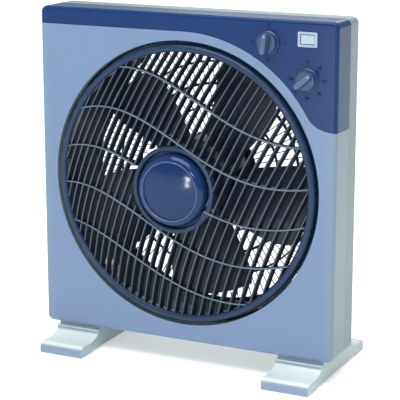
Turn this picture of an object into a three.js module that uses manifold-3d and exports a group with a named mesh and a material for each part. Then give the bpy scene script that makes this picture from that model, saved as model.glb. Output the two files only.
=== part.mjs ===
// Box fan with a turning louver grille. Millimetres, +Z up, front facing -Y.
// The origin is on the surface the fan stands on, under the middle of the body.
import * as THREE from 'three';
import { mergeVertices } from 'three/addons/utils/BufferGeometryUtils.js';
import Module from 'manifold-3d';

const wasm = await Module();
wasm.setup();

// ---------------------------------------------------------------- driving dimensions
const touchGap = 0.3;

const bodyWidth = 350;
const bodyHeight = 362;
const bodyDepth = 94;
const bodyLift = 26.5;
const frontDepth = 36;
const sideDepth = 58;
const wall = 2.5;
const cornerRadius = 7;
const edgeRadius = 4;
const rearInset = 12;
const rearEdge = 4;

const openingRadius = 157;
const openingHeight = 176.5;
const lipDepth = 7;

const panelMargin = 10;
const panelEndAngle = 33;
const panelSideRise = 72;

const beadWidth = 8;
const beadGap = 4.5;
const beadRise = 3;
const skirtThickness = 2.5;
const flangeReach = 2;
const flangeThickness = 2.5;
const flangeSetback = 10.5;
const domeRise = 26;
const domePower = 2.5;
const slatCount = 31;
const slatPitch = 9.3;
const slatThickness = 1.8;
const slatDepth = 8;
const slatTurn = 23;
const slatLean = 0.2;
const ribCount = 5;
const ribPitch = 48;
const ribWidth = 2.2;
const ribSlope = 15;
const ribCurl = 43;
const smallestCell = 2;
const hubRadius = 47.5;
const hubWall = 5;
const hubPlate = 2;
const hubRecess = 7;
const capGap = 1.4;
const capRise = 15;
const capRoll = 11;
const capDiscStep = 1.2;

const rollerGroove = 5.5;
const rollerFlange = 8;
const rollerFlangeThickness = 1.5;
const rollerPlay = 0.5;
const pinRadius = 1.6;
const pinPlay = 0.5;
const pinHeadRadius = 3.5;
const pinHeadThickness = 1.7;
const rollerAngles = [90, 200, 340];

const driveAngle = 227;
const wheelRadius = 9;
const wheelWidth = 7;
const louverMotorRadius = 25;
const louverMotorThickness = 20;
const louverMotorOffset = 12;
const louverShaftRadius = 3.5;
const louverPostSpread = 15;

const bladeCount = 5;
const bladePhase = 56;
const bladeRadius = 131;
const bladeThickness = 2.4;
const bladeTwistRoot = 26;
const bladeTwistTip = 14;
const bladeChordRoot = 55;
const bladeChordTip = 105;
const bladeTipTrim = 20;
const bladeLead = 6;
const bladeHubPlay = 2;
const bladeHubFront = 5;
const bladeHubFloor = 5;
const bladeHubWall = 2.5;
const bladeHubSkirt = 18;
const bladeHubBoss = 18;
const bladeMiddle = -2;

const shaftRadius = 4;
const shaftPlay = 0.5;
const statorRadius = 41;
const statorBore = 24;
const statorLength = 22;
const rotorPlay = 0.6;
const bracketWall = 2.5;
const bracketDepth = 14;
const bushRadius = 8;
const bushLength = 9;
const motorBoltCircle = 31;
const nutAcross = 20;
const nutThickness = 11;

const guardPlateRadius = 47;
const guardMiddleRadius = 98;
const guardRing = 2.4;
const guardSpokeWidth = 2;
const guardSpokeDepth = 3.5;
const guardCells = 56;
const guardOpeningRadius = 151.5;
const guardOverlap = 4.5;

const knobRadius = 12.3;
const knobBase = 7;
const knobGripWidth = 6.5;
const knobGripHeight = 8;
const knobGap = 0.6;
const speedKnobX = 98.5;
const speedKnobDrop = 24.5;
const speedGripTurn = 8;
const timerKnobX = 142;
const timerKnobDrop = 60.5;
const timerGripTurn = 50;
const controlShaftRadius = 3;
const controlShaftPlay = 0.8;
const speedSwitchSize = 32;
const speedSwitchDepth = 20;
const timerSize = 41;
const timerDepth = 26;

const rockerX = 142;
const rockerDrop = 19;
const bezelWidth = 21.4;
const bezelHeight = 15.5;
const bezelProud = 1.8;
const bezelWall = 2.9;
const switchDepth = 18;
const switchPocket = 9;
const rockerWidth = 14.4;
const rockerPlay = 0.6;
const rockerTilt = 8;
const rockerPinRadius = 0.9;

const footLength = 168;
const footWidth = 54;
const footInner = 109;
const noseHeight = 13;
const noseRadius = 5;
const noseLength = 24;
const ledgeHeight = 22;
const ledgeSetback = 4;
const saddleSetback = 8;
const soleLength = 25;
const soleStep = 2;
const footWall = 3;
const padThickness = 3;
const padInset = 4;
const padProud = 0.5;
const footScrewSetback = 21;

const screwHeadRadius = 3.4;
const screwHeadThickness = 2;
const screwShankRadius = 1.6;
const postRadius = 4.2;
const postInset = 7.8;
const postLowHeight = 60;
const postLeftHeight = 300;
const postRightHeight = 225;
const panelPostX = [-100, 60];
const screwReach = 14;

const glandRadius = 6;
const glandBore = 3.5;
const glandFlange = 2;
const glandInset = 24;

const terminalBlock = { x: -42, y: 27, width: 36, depth: 14, height: 13 };
const capacitorBox = { x: 44, y: 25, width: 40, depth: 18, height: 25 };

// ---------------------------------------------------------------- places worked out from them
const frontY = -bodyDepth / 2;
const rearY = bodyDepth / 2;
const seamY = frontY + frontDepth;
const stepY = frontY + sideDepth;
const faceBackY = frontY + wall;
const bottomZ = bodyLift;
const topZ = bodyLift + bodyHeight;
const centreZ = bodyLift + openingHeight;
const bladeHubRadius = statorRadius + bladeHubPlay + bladeHubWall;
const halfWidth = bodyWidth / 2;

const beadOuter = openingRadius - beadGap;
const beadInner = beadOuter - beadWidth;
const beadY = frontY - beadRise + beadWidth / 2;
const skirtOuter = beadOuter - skirtThickness;
const skirtInner = skirtOuter - skirtThickness;
const flangeRadius = beadOuter + flangeReach;
const flangeY = frontY + flangeSetback;
const wheelFront = flangeY + flangeThickness / 2 - wheelWidth / 2;
const wheelBack = wheelFront + wheelWidth;
const louverMotorFront = wheelBack + 3;
const gratingRadius = skirtOuter - 1.3;
const hubInner = hubRadius - hubWall;

const speedKnobZ = topZ - speedKnobDrop;
const timerKnobZ = topZ - timerKnobDrop;
const rockerZ = topZ - rockerDrop;
const rockerPivotY = frontY + 1;

const guardBackY = rearY - wall - touchGap;
const guardPlateY = guardBackY - guardSpokeDepth;
const motorBackY = guardPlateY - touchGap;
const statorBackY = motorBackY - bracketDepth;
const statorFrontY = statorBackY - statorLength;
const motorFrontY = statorFrontY - bracketDepth / 2;
const hubRearY = motorFrontY + bladeHubSkirt;
const hubFloorY = motorFrontY - bladeHubFloor;
const hubFrontY = hubFloorY - bladeHubBoss;

// ---------------------------------------------------------------- solids and joining
const degrees = Math.PI / 180;

function solid(geometry) {
  const bare = geometry.clone();
  bare.deleteAttribute('normal');
  bare.deleteAttribute('uv');
  const merged = mergeVertices(bare, 1e-4);
  const mesh = new wasm.Mesh({
    numProp: 3,
    vertProperties: new Float32Array(merged.attributes.position.array),
    triVerts: new Uint32Array(merged.index.array),
  });
  return new wasm.Manifold(mesh);
}

function geometryOf(manifold) {
  const mesh = manifold.getMesh();
  const geometry = new THREE.BufferGeometry();
  geometry.setAttribute('position', new THREE.BufferAttribute(mesh.vertProperties, 3));
  geometry.setIndex(new THREE.BufferAttribute(mesh.triVerts, 1));
  const flat = geometry.toNonIndexed();
  flat.computeVertexNormals();
  return flat;
}

function joined(list) {
  return list.reduce((total, next) => total.add(next));
}

function cut(base, list) {
  return list.reduce((total, next) => total.subtract(next), base);
}

// An outline drawn in X and Z, given thickness along Y.
function plate(shape, y0, y1) {
  const options = { depth: y1 - y0, bevelEnabled: false, curveSegments: 6 };
  const geometry = new THREE.ExtrudeGeometry(shape, options);
  geometry.rotateX(Math.PI / 2);
  geometry.translate(0, y1, 0);
  return solid(geometry);
}

// A body of revolution about the Y direction through (x, z); the profile holds (radius, y) points.
function turned(profile, segments, x = 0, z = 0) {
  const points = profile.map(([r, y]) => new THREE.Vector2(r, y));
  const area = profile.reduce((sum, [r, y], i) => {
    const [r2, y2] = profile[(i + 1) % profile.length];
    return sum + r * y2 - r2 * y;
  }, 0);
  if (area < 0) points.reverse();
  const onAxis = points.some((p) => p.x === 0);
  if (!onAxis) points.push(points[0].clone());
  const geometry = new THREE.LatheGeometry(points, segments);
  geometry.translate(x, 0, z);
  return solid(geometry);
}

function rod(radius, y0, y1, segments, x = 0, z = 0) {
  return turned([[0, y0], [radius, y0], [radius, y1], [0, y1]], segments, x, z);
}

function tube(outer, inner, y0, y1, segments, x = 0, z = 0) {
  return turned([[inner, y0], [outer, y0], [outer, y1], [inner, y1]], segments, x, z);
}

function block(x0, x1, y0, y1, z0, z1) {
  const geometry = new THREE.BoxGeometry(x1 - x0, y1 - y0, z1 - z0);
  geometry.translate((x0 + x1) / 2, (y0 + y1) / 2, (z0 + z1) / 2);
  return solid(geometry);
}

// A closed body through rings of points, each ring with the same number of points.
function loft(rings) {
  const count = rings[0].length;
  const positions = rings.flat().flatMap((p) => [p.x, p.y, p.z]);
  const faces = [];
  for (let i = 0; i + 1 < rings.length; i += 1) {
    for (let j = 0; j < count; j += 1) {
      const a = i * count + j;
      const b = i * count + ((j + 1) % count);
      faces.push(a, b, b + count, a, b + count, a + count);
    }
  }
  const last = (rings.length - 1) * count;
  for (let j = 1; j + 1 < count; j += 1) {
    faces.push(0, j + 1, j);
    faces.push(last, last + j, last + j + 1);
  }
  const geometry = new THREE.BufferGeometry();
  geometry.setAttribute('position', new THREE.Float32BufferAttribute(positions, 3));
  geometry.setIndex(faces);
  const body = solid(geometry);
  return body.volume() > 0 ? body : solid(flipped(geometry));
}

function flipped(geometry) {
  const index = Array.from(geometry.index.array);
  for (let i = 0; i < index.length; i += 3) {
    [index[i + 1], index[i + 2]] = [index[i + 2], index[i + 1]];
  }
  geometry.setIndex(index);
  return geometry;
}

function roundedRect(x0, x1, z0, z1, radius) {
  const shape = new THREE.Shape();
  shape.moveTo(x0 + radius, z0);
  shape.lineTo(x1 - radius, z0);
  shape.absarc(x1 - radius, z0 + radius, radius, -Math.PI / 2, 0);
  shape.lineTo(x1, z1 - radius);
  shape.absarc(x1 - radius, z1 - radius, radius, 0, Math.PI / 2);
  shape.lineTo(x0 + radius, z1);
  shape.absarc(x0 + radius, z1 - radius, radius, Math.PI / 2, Math.PI);
  shape.lineTo(x0, z0 + radius);
  shape.absarc(x0 + radius, z0 + radius, radius, Math.PI, Math.PI * 1.5);
  return shape;
}

// ---------------------------------------------------------------- materials
const looks = {
  body: { color: 0x89a3c3, roughness: 0.45, metalness: 0 },
  shell: { color: 0x9bb0b8, roughness: 0.5, metalness: 0 },
  panel: { color: 0x365087, roughness: 0.25, metalness: 0 },
  grille: { color: 0x465a87, roughness: 0.4, metalness: 0 },
  black: { color: 0x14181f, roughness: 0.5, metalness: 0 },
  foot: { color: 0xc3d2d4, roughness: 0.5, metalness: 0 },
  steel: { color: 0x9a9da0, roughness: 0.35, metalness: 1 },
  brass: { color: 0xb08d57, roughness: 0.4, metalness: 1 },
  rubber: { color: 0x1c1c1e, roughness: 0.9, metalness: 0 },
  pale: { color: 0xbec8e6, roughness: 0.35, metalness: 0 },
};

const fan = new THREE.Group();

function piece(name, manifold, look) {
  const mesh = new THREE.Mesh(geometryOf(manifold), new THREE.MeshStandardMaterial(looks[look]));
  mesh.name = name;
  fan.add(mesh);
  return mesh;
}

// ---------------------------------------------------------------- casing
// The front half of the body, set in by an inset all round and at the front.
function frontBlock(inset, y1) {
  const radius = cornerRadius - edgeRadius;
  const core = inset + edgeRadius;
  const shape = roundedRect(-halfWidth + core, halfWidth - core, bottomZ + core, topZ - core, radius);
  const options = {
    depth: bodyDepth,
    bevelThickness: edgeRadius,
    bevelSize: edgeRadius,
    bevelSegments: 2,
    curveSegments: 3,
  };
  const geometry = new THREE.ExtrudeGeometry(shape, options);
  geometry.rotateX(Math.PI / 2);
  geometry.translate(0, frontY + inset + edgeRadius + bodyDepth, 0);
  return solid(geometry).intersect(block(-bodyWidth, bodyWidth, frontY - 1, y1, 0, topZ + 1));
}

// The rear half: the rim, then a smaller box behind it that keeps the same bottom.
function rearBlock(inset, y0) {
  const rimShape = roundedRect(
    -halfWidth + inset, halfWidth - inset, bottomZ + inset, topZ - inset, cornerRadius - inset / 2);
  const rim = plate(rimShape, y0, stepY - inset);
  const core = inset + rearEdge;
  const half = halfWidth - rearInset - core;
  const boxShape = roundedRect(-half, half, bottomZ + core, topZ - rearInset - core, 4);
  const options = {
    depth: rearY - stepY,
    bevelThickness: rearEdge,
    bevelSize: rearEdge,
    bevelSegments: 2,
    curveSegments: 3,
  };
  const geometry = new THREE.ExtrudeGeometry(boxShape, options);
  geometry.rotateX(Math.PI / 2);
  geometry.translate(0, rearY - inset - rearEdge, 0);
  const clip = block(-bodyWidth, bodyWidth, y0, rearY + 1, 0, topZ + 1);
  return rim.add(solid(geometry).intersect(clip));
}

const postSpots = [
  [-halfWidth + postInset, bottomZ + postLowHeight],
  [-halfWidth + postInset, bottomZ + postLeftHeight],
  [halfWidth - postInset, bottomZ + postLowHeight],
  [halfWidth - postInset, bottomZ + postRightHeight],
];
const panelPostSpots = panelPostX.map((x) => [x, topZ - postInset]);

function post(x, z) {
  const body = rod(postRadius, faceBackY - 0.5, stepY - wall - touchGap, 12, x, z);
  return body.subtract(rod(screwShankRadius + touchGap, stepY - 25, stepY, 8, x, z));
}

function rollerSpot(angle) {
  const reach = flangeRadius + touchGap + rollerGroove;
  return [reach * Math.cos(angle * degrees), centreZ + reach * Math.sin(angle * degrees)];
}

function rollerBoss([x, z]) {
  const radius = pinRadius + touchGap + 1.2;
  const endY = flangeY - rollerPlay - rollerFlangeThickness - touchGap;
  return rod(radius, faceBackY - 0.5, endY, 12, x, z);
}

function rollerBossHole([x, z]) {
  return rod(pinRadius + touchGap, faceBackY + 0.5, frontY + 30, 12, x, z);
}

// The louver motor's two posts stand on the face, either side of its middle.
function louverMotorPosts() {
  const [x, z] = louverMotorSpot();
  const angle = driveAngle * degrees;
  return [-1, 1].map((side) => {
    const offset = side * louverPostSpread;
    const postX = x - offset * Math.sin(angle);
    const postZ = z + offset * Math.cos(angle);
    return rod(postRadius, faceBackY - 0.5, louverMotorFront - touchGap, 12, postX, postZ);
  });
}

// The outline of the control panel: a strip along the top that widens round the opening.
function panelShape(grow) {
  const radius = openingRadius + panelMargin - grow;
  const end = panelEndAngle * degrees;
  const sideZ = centreZ + panelSideRise - grow;
  const endX = radius * Math.cos(end);
  const endZ = centreZ + radius * Math.sin(end);
  const shape = new THREE.Shape();
  shape.moveTo(-halfWidth - 5, topZ + 5);
  shape.lineTo(-halfWidth - 5, centreZ + radius);
  shape.lineTo(0, centreZ + radius);
  shape.absarc(0, centreZ, radius, Math.PI / 2, end, true);
  shape.bezierCurveTo(endX + 5, endZ - 9, endX + 12, sideZ, halfWidth, sideZ);
  shape.lineTo(halfWidth + 5, sideZ);
  shape.lineTo(halfWidth + 5, topZ + 5);
  return shape;
}

function panelRegion(grow) {
  const options = { depth: frontDepth + 10, bevelEnabled: false, curveSegments: 16 };
  const geometry = new THREE.ExtrudeGeometry(panelShape(grow), options);
  geometry.rotateX(Math.PI / 2);
  geometry.translate(0, seamY + 5, 0);
  return solid(geometry);
}

function casing() {
  const skin = frontBlock(0, seamY).subtract(frontBlock(wall, seamY + 1));
  const hole = rod(openingRadius, frontY - 1, faceBackY + 1, 48, 0, centreZ);
  const lip = tube(openingRadius + wall, openingRadius, faceBackY - 0.5, frontY + lipDepth, 48, 0, centreZ);
  const face = skin.subtract(hole);
  const rollers = rollerAngles.map(rollerSpot);
  const shell = cut(face, [panelRegion(touchGap)]);
  const withLip = shell.add(lip).add(joined(rollers.map(rollerBoss)));
  const holes = rollers.map(rollerBossHole);
  const footHoles = footScrewSpots().filter(([, y]) => y < seamY).map(([x, y]) => footScrewHole(x, y));
  const posts = joined(postSpots.map(([x, z]) => post(x, z)).concat(louverMotorPosts()));
  piece('front_shell', cut(withLip.add(posts), holes.concat(footHoles)), 'body');

  const panel = face.intersect(panelRegion(0));
  const panelPosts = joined(panelPostSpots.map(([x, z]) => post(x, z)));
  const openings = [
    rod(controlShaftRadius + controlShaftPlay, frontY - 1, faceBackY + 1, 16, speedKnobX, speedKnobZ),
    rod(controlShaftRadius + controlShaftPlay, frontY - 1, faceBackY + 1, 16, timerKnobX, timerKnobZ),
    switchBox(touchGap, frontY - 1, faceBackY + 1),
  ];
  piece('control_panel', cut(panel.add(panelPosts), openings), 'panel');
}

function screwHoleRear([x, z]) {
  return rod(screwShankRadius + touchGap, stepY - wall - 1, stepY + 1, 10, x, z);
}

function rearCasing() {
  const outer = rearBlock(0, seamY + touchGap);
  const inner = rearBlock(wall, seamY);
  const opening = rod(guardOpeningRadius, rearY - wall - 1, rearY + 1, 48, 0, centreZ);
  const holes = postSpots.concat(panelPostSpots).map(screwHoleRear);
  const footHoles = footScrewSpots().filter(([, y]) => y > seamY).map(([x, y]) => footScrewHole(x, y));
  const [glandX, glandZ] = glandSpot();
  const glandHole = rod(glandRadius + touchGap, rearY - wall - 1, rearY + 1, 16, glandX, glandZ);
  piece('rear_shell', cut(outer.subtract(inner), [opening, glandHole].concat(holes, footHoles)), 'shell');
}

// ---------------------------------------------------------------- rear guard
function guardCell(inner, outer, from, to) {
  const slot = guardSpokeWidth / 2;
  const corners = [
    [inner, from + slot / inner],
    [outer, from + slot / outer],
    [outer, to - slot / outer],
    [inner, to - slot / inner],
  ];
  return new THREE.Path(corners.map(([r, a]) => new THREE.Vector2(r * Math.cos(a), r * Math.sin(a))));
}

function guardZone(inner, outer, count) {
  const step = (2 * Math.PI) / count;
  const cells = [];
  for (let i = 0; i < count; i += 1) {
    cells.push(guardCell(inner, outer, i * step, (i + 1) * step));
  }
  return cells;
}

function boltSpots() {
  return [45, 135, 225, 315].map((angle) => [
    motorBoltCircle * Math.cos(angle * degrees),
    centreZ + motorBoltCircle * Math.sin(angle * degrees),
  ]);
}

// A flat grid of spokes, twice as many outside its middle ring as inside it.
function rearGuard() {
  const half = guardRing / 2;
  const shape = new THREE.Shape();
  shape.absarc(0, 0, guardOpeningRadius + guardOverlap, 0, 2 * Math.PI);
  shape.holes = [
    ...guardZone(guardPlateRadius, guardMiddleRadius - half, guardCells),
    ...guardZone(guardMiddleRadius + half, guardOpeningRadius - guardRing, guardCells * 2),
  ];
  const options = { depth: guardSpokeDepth, bevelEnabled: false, curveSegments: 24 };
  const geometry = new THREE.ExtrudeGeometry(shape, options);
  geometry.rotateX(Math.PI / 2);
  geometry.translate(0, guardBackY, centreZ);
  const bolts = boltSpots().map(([x, z]) =>
    rod(screwShankRadius + touchGap, guardPlateY - 1, rearY, 8, x, z));
  piece('rear_guard', cut(solid(geometry), bolts), 'black');
}

// ---------------------------------------------------------------- louver grille
function domeY(radius) {
  const share = Math.min(radius / beadInner, 1) ** domePower;
  return frontY - 1 - domeRise * (1 - share);
}

// Each cross rib is a gentle S: its place along the slats (s) from its place across them (t).
function ribAt(index, t) {
  const share = t / beadInner;
  const middle = (index - (ribCount - 1) / 2) * ribPitch;
  return middle - ribSlope * share + ribCurl * share ** 3;
}

function chord(radius, t) {
  return Math.sqrt(Math.max(radius * radius - t * t, 0));
}

// The open cells in one gap between slats, as [low, high] pairs of functions of t.
function gapCells(t) {
  const rim = gratingRadius - 2.5;
  const hub = hubRadius - hubWall - 1.5;
  const cells = [];
  let low = (u) => -chord(rim, u);
  for (let i = 0; i < ribCount; i += 1) {
    const from = low;
    const under = (u) => Math.min(ribAt(i, u) - ribWidth / 2, chord(rim, u));
    const over = (u) => Math.max(ribAt(i, u) + ribWidth / 2, -chord(rim, u));
    if (Math.abs(ribAt(i, t)) < chord(rim, t)) {
      cells.push([from, under]);
      low = over;
    }
  }
  cells.push([low, (u) => chord(rim, u)]);
  if (Math.abs(t) >= hub) return cells;
  return cells.flatMap(([from, to]) => [
    [from, (u) => Math.min(to(u), -chord(hub, u))],
    [(u) => Math.max(from(u), chord(hub, u)), to],
  ]);
}

function gratingShape() {
  const shape = new THREE.Shape();
  shape.absarc(0, 0, gratingRadius, 0, 2 * Math.PI);
  for (let i = 0; i <= slatCount; i += 1) {
    const middle = (i - slatCount / 2) * slatPitch;
    const half = (slatPitch - slatThickness) / 2;
    const [t0, t1] = [middle - half, middle + half];
    gapCells(middle).forEach(([low, high]) => {
      if (Math.min(high(t0) - low(t0), high(t1) - low(t1)) < smallestCell) return;
      const corners = [[t0, low(t0)], [t1, low(t1)], [t1, high(t1)], [t0, high(t0)]];
      shape.holes.push(new THREE.Path(corners.map(([t, s]) => new THREE.Vector2(t, s))));
    });
  }
  return shape;
}

// The slats and ribs are drawn flat, raised to the dome, leaned sideways and turned to their angle.
function grating() {
  const options = { depth: slatDepth, bevelEnabled: false, curveSegments: 18 };
  const geometry = new THREE.ExtrudeGeometry(gratingShape(), options);
  geometry.rotateX(Math.PI / 2);
  geometry.translate(0, slatDepth, 0);
  const points = geometry.attributes.position;
  for (let i = 0; i < points.count; i += 1) {
    const y = points.getY(i) + domeY(Math.hypot(points.getX(i), points.getZ(i)));
    points.setX(i, points.getX(i) + slatLean * (y - frontY));
    points.setY(i, y);
  }
  geometry.rotateY(slatTurn * degrees);
  geometry.translate(0, 0, centreZ);
  return solid(geometry);
}

function grilleRim() {
  const middle = (beadOuter + beadInner) / 2;
  const profile = [];
  for (let i = 0; i <= 3; i += 1) {
    const angle = (Math.PI * i) / 3;
    const reach = beadWidth / 2;
    profile.push([middle + reach * Math.cos(angle), beadY - reach * Math.sin(angle)]);
  }
  profile.push([beadInner, beadY + 2]);
  profile.push([skirtInner, beadY + 4]);
  profile.push([skirtInner, flangeY + flangeThickness]);
  profile.push([flangeRadius, flangeY + flangeThickness]);
  profile.push([flangeRadius, flangeY]);
  profile.push([skirtOuter, flangeY]);
  profile.push([skirtOuter, beadY + 4]);
  return turned(profile, 40, 0, centreZ);
}

function louver() {
  const hubFront = domeY(hubRadius);
  const plateFront = hubFront + hubRecess;
  const plateBack = plateFront + hubPlate;
  const hub = turned([
    [0, plateFront],
    [hubInner, plateFront],
    [hubInner, hubFront],
    [hubRadius - 1, hubFront],
    [hubRadius, hubFront + 1],
    [hubRadius, plateBack],
    [0, plateBack],
  ], 28, 0, centreZ);
  const core = rod(hubRadius - hubWall / 2, hubFront - 20, plateBack + 20, 28, 0, centreZ);
  piece('louver_grille', grating().subtract(core).add(grilleRim()).add(hub), 'grille');

  const capBack = plateFront - touchGap;
  const capRadius = hubInner - capGap;
  const capFront = capBack - capRise;
  const discRadius = capRadius - capRoll;
  const roll = [0, 18, 36, 54, 72, 90].map((angle) => [
    discRadius + capRoll * Math.cos(angle * degrees),
    hubFront - (hubFront - capFront) * Math.sin(angle * degrees),
  ]);
  const cap = turned([
    [0, capBack],
    [capRadius, capBack],
    ...roll,
    [discRadius - capDiscStep, capFront + capDiscStep],
    [discRadius / 2, capFront + capDiscStep / 2],
    [0, capFront],
  ], 28, 0, centreZ);
  piece('louver_cap', cap, 'panel');
}

function rollers() {
  rollerAngles.forEach((angle, i) => {
    const [x, z] = rollerSpot(angle);
    const grooveFront = flangeY - rollerPlay;
    const grooveBack = flangeY + flangeThickness + rollerPlay;
    const front = grooveFront - rollerFlangeThickness;
    const back = grooveBack + rollerFlangeThickness;
    const bore = pinRadius + pinPlay;
    const wheel = turned([
      [bore, front],
      [rollerFlange, front],
      [rollerFlange, grooveFront],
      [rollerGroove, grooveFront],
      [rollerGroove, grooveBack],
      [rollerFlange, grooveBack],
      [rollerFlange, back],
      [bore, back],
    ], 14, x, z);
    piece(`guide_roller_${i + 1}`, wheel, 'black');
    const pin = turned([
      [0, faceBackY + 0.5 + touchGap],
      [pinRadius, faceBackY + 0.5 + touchGap],
      [pinRadius, back + pinPlay],
      [pinHeadRadius, back + pinPlay],
      [pinHeadRadius, back + pinPlay + pinHeadThickness],
      [0, back + pinPlay + pinHeadThickness],
    ], 10, x, z);
    piece(`roller_pin_${i + 1}`, pin, 'steel');
  });
}

// The drive wheel's centre, and the louver motor's centre a little further out.
function driveSpot(offset) {
  const reach = flangeRadius + touchGap + wheelRadius + offset;
  const angle = driveAngle * degrees;
  return [reach * Math.cos(angle), centreZ + reach * Math.sin(angle)];
}

function louverMotorSpot() {
  return driveSpot(louverMotorOffset);
}

function louverDrive() {
  const [x, z] = driveSpot(0);
  const wheel = turned([
    [louverShaftRadius + touchGap, wheelFront],
    [wheelRadius - 1, wheelFront],
    [wheelRadius, wheelFront + 1],
    [wheelRadius, wheelBack - 1],
    [wheelRadius - 1, wheelBack],
    [louverShaftRadius + touchGap, wheelBack],
  ], 18, x, z);
  piece('drive_wheel', wheel, 'rubber');
  const [motorX, motorZ] = louverMotorSpot();
  const front = louverMotorFront;
  const can = rod(louverMotorRadius, front, front + louverMotorThickness, 28, motorX, motorZ);
  const well = rod(louverShaftRadius + shaftPlay, front - 1, front + 8, 12, x, z);
  piece('louver_motor', can.subtract(well), 'steel');
  piece('louver_motor_shaft', rod(louverShaftRadius, wheelFront - 1, front + 7, 12, x, z), 'steel');
}

// ---------------------------------------------------------------- fan and motor
function blade(turn) {
  const steps = 5;
  const rings = [];
  for (let i = 0; i <= steps; i += 1) {
    const share = i / steps;
    const radius = bladeHubRadius - 1.5 + share * (bladeRadius - bladeHubRadius + 1.5);
    const chord = bladeChordRoot + share * (bladeChordTip - bladeChordRoot) - bladeTipTrim * share ** 6;
    const pitch = (bladeTwistRoot + share * (bladeTwistTip - bladeTwistRoot)) * degrees;
    const lead = turn + bladeLead * degrees * share;
    rings.push(bladeSection(radius, chord, pitch, lead));
  }
  return loft(rings);
}

// The blade's section at one radius, wrapped round the axis.
function bladeSection(radius, chord, pitch, lead) {
  const half = bladeThickness / 2;
  const camber = chord * 0.06;
  const stations = [-0.5, -0.2, 0.15, 0.5];
  const place = (u, side) => {
    const along = u * chord;
    const bulge = camber * (1 - 4 * u * u);
    const y = bladeMiddle + along * Math.sin(pitch) - (bulge + side) * Math.cos(pitch);
    const angle = lead + (along * Math.cos(pitch) + (bulge + side) * Math.sin(pitch)) / radius;
    return new THREE.Vector3(radius * Math.cos(angle), y, centreZ + radius * Math.sin(angle));
  };
  const upper = stations.map((u) => place(u, half));
  const lower = stations.map((u) => place(u, -half)).reverse();
  return upper.concat(lower);
}

function impeller() {
  const hub = turned([
    [shaftRadius + touchGap, hubFrontY + bladeHubFront],
    [nutAcross / 2 + 2, hubFrontY + bladeHubFront],
    [nutAcross / 2 + 4, hubFrontY],
    [bladeHubRadius - 4, hubFrontY + 3],
    [bladeHubRadius, hubFrontY + 10],
    [bladeHubRadius, hubRearY],
    [bladeHubRadius - bladeHubWall, hubRearY],
    [bladeHubRadius - bladeHubWall, hubFrontY + 10],
    [12, hubFrontY + bladeHubFront + 4],
    [10, hubFloorY],
    [shaftRadius + touchGap, hubFloorY],
  ], 28, 0, centreZ);
  const blades = [];
  for (let i = 0; i < bladeCount; i += 1) {
    blades.push(blade((i * 2 * Math.PI) / bladeCount + bladePhase * degrees));
  }
  const bore = rod(bladeHubRadius - bladeHubWall, hubFrontY - 20, hubRearY + 30, 28, 0, centreZ);
  const trimmed = joined(blades).subtract(bore);
  piece('fan_blade', hub.add(trimmed), 'black');
  const nutBack = hubFrontY + bladeHubFront - touchGap;
  const nut = turned([
    [0, nutBack - nutThickness],
    [nutAcross / 4, nutBack - nutThickness],
    [nutAcross / 2, nutBack - nutThickness / 2],
    [nutAcross / 2, nutBack],
    [shaftRadius + touchGap, nutBack],
    [shaftRadius + touchGap, nutBack - nutThickness + 4],
    [0, nutBack - nutThickness + 4],
  ], 18, 0, centreZ);
  piece('blade_nut', nut, 'black');
  const shaftFront = nutBack - nutThickness + 4 + touchGap;
  piece('motor_shaft', rod(shaftRadius, shaftFront, motorBackY - bracketWall - 1, 16, 0, centreZ), 'steel');
}

function bracket(name, y0, y1, inward) {
  const closed = inward > 0 ? y0 : y1;
  const open = inward > 0 ? y1 : y0;
  const floor = closed + inward * bracketWall;
  const cup = turned([
    [bushRadius + touchGap, closed],
    [statorRadius - 5, closed],
    [statorRadius, closed + inward * 4],
    [statorRadius, open],
    [statorRadius - bracketWall, open],
    [statorRadius - bracketWall, closed + inward * 5],
    [statorRadius - 6, floor],
    [bushRadius + touchGap, floor],
  ], 24, 0, centreZ);
  const holes = boltSpots().map(([x, z]) =>
    rod(screwShankRadius + touchGap, motorBackY - 8, rearY, 8, x, z));
  piece(name, cut(cup, holes), 'steel');
}

function motor() {
  bracket('motor_front_bracket', motorFrontY, statorFrontY - touchGap, 1);
  bracket('motor_rear_bracket', statorBackY + touchGap, motorBackY, -1);
  piece('motor_stator', tube(statorRadius, statorBore, statorFrontY, statorBackY, 24, 0, centreZ), 'steel');
  const rotorRadius = statorBore - rotorPlay;
  const rotor = tube(rotorRadius, shaftRadius + touchGap, statorFrontY, statorBackY, 20, 0, centreZ);
  piece('motor_rotor', rotor, 'steel');
  const bore = shaftRadius + shaftPlay;
  const frontBush = tube(bushRadius, bore, motorFrontY, motorFrontY + bushLength / 2, 16, 0, centreZ);
  piece('front_bush', frontBush, 'brass');
  piece('rear_bush', tube(bushRadius, bore, motorBackY - bushLength, motorBackY, 16, 0, centreZ), 'brass');
  boltSpots().forEach(([x, z], i) => {
    piece(`motor_screw_${i + 1}`, screw(guardBackY + touchGap, 10, x, z), 'steel');
  });
}

// A pan-head screw whose head bears on a face at y and whose shank goes in towards the front.
function screw(y, length, x, z) {
  return turned([
    [0, y - length],
    [screwShankRadius, y - length],
    [screwShankRadius, y],
    [screwHeadRadius, y],
    [screwHeadRadius - 1, y + screwHeadThickness],
    [0, y + screwHeadThickness],
  ], 8, x, z);
}

// ---------------------------------------------------------------- controls
function switchBox(grow, y0, y1) {
  const x = bezelWidth / 2 - 1.2 + grow;
  const z = bezelHeight / 2 - 1.2 + grow;
  return block(rockerX - x, rockerX + x, y0, y1, rockerZ - z, rockerZ + z);
}

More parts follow.
